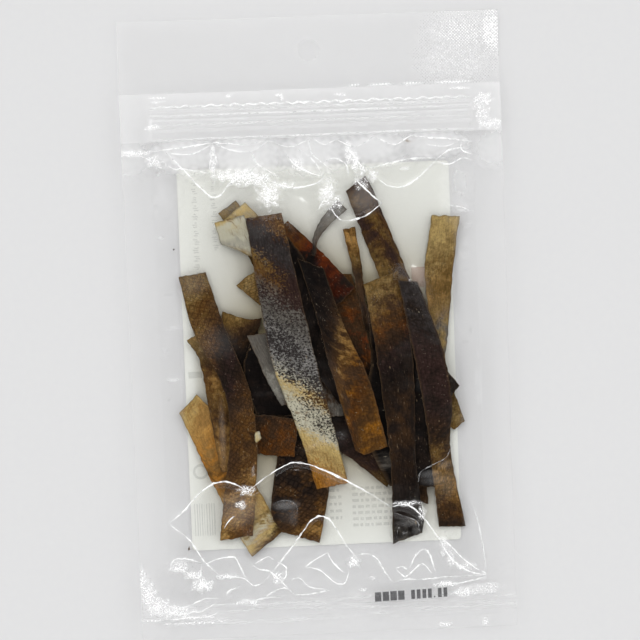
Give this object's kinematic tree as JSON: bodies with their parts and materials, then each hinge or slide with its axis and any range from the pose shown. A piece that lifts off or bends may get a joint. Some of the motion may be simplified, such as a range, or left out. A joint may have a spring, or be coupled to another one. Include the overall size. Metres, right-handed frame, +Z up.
{
  "type": "dried salmon skin in a clear zip pouch",
  "caption": "Flat clear zip pouch with a hang hole and a label on its back, lying down, filled with long cut strips of dried salmon skin.",
  "frame": {"origin": "on the ground under the middle of the pouch's outline, at the lowest point of the label", "axes": "+X to the right of the shown side, +Y along the pouch towards its header and hang hole, +Z up out of the shown side"},
  "size_m": [0.14, 0.229, 0.0085],
  "materials": {
    "clear_film": "clear glossy laminate film, heat sealed",
    "label_paper": "coated white label paper",
    "dried_skin": "dried fish skin, dark and mottled, part translucent",
    "print_ink": "thin black ink"
  },
  "bodies": {
    "root": {"pouch": "clear_film", "label": "label_paper"}
  },
  "joints": []
}
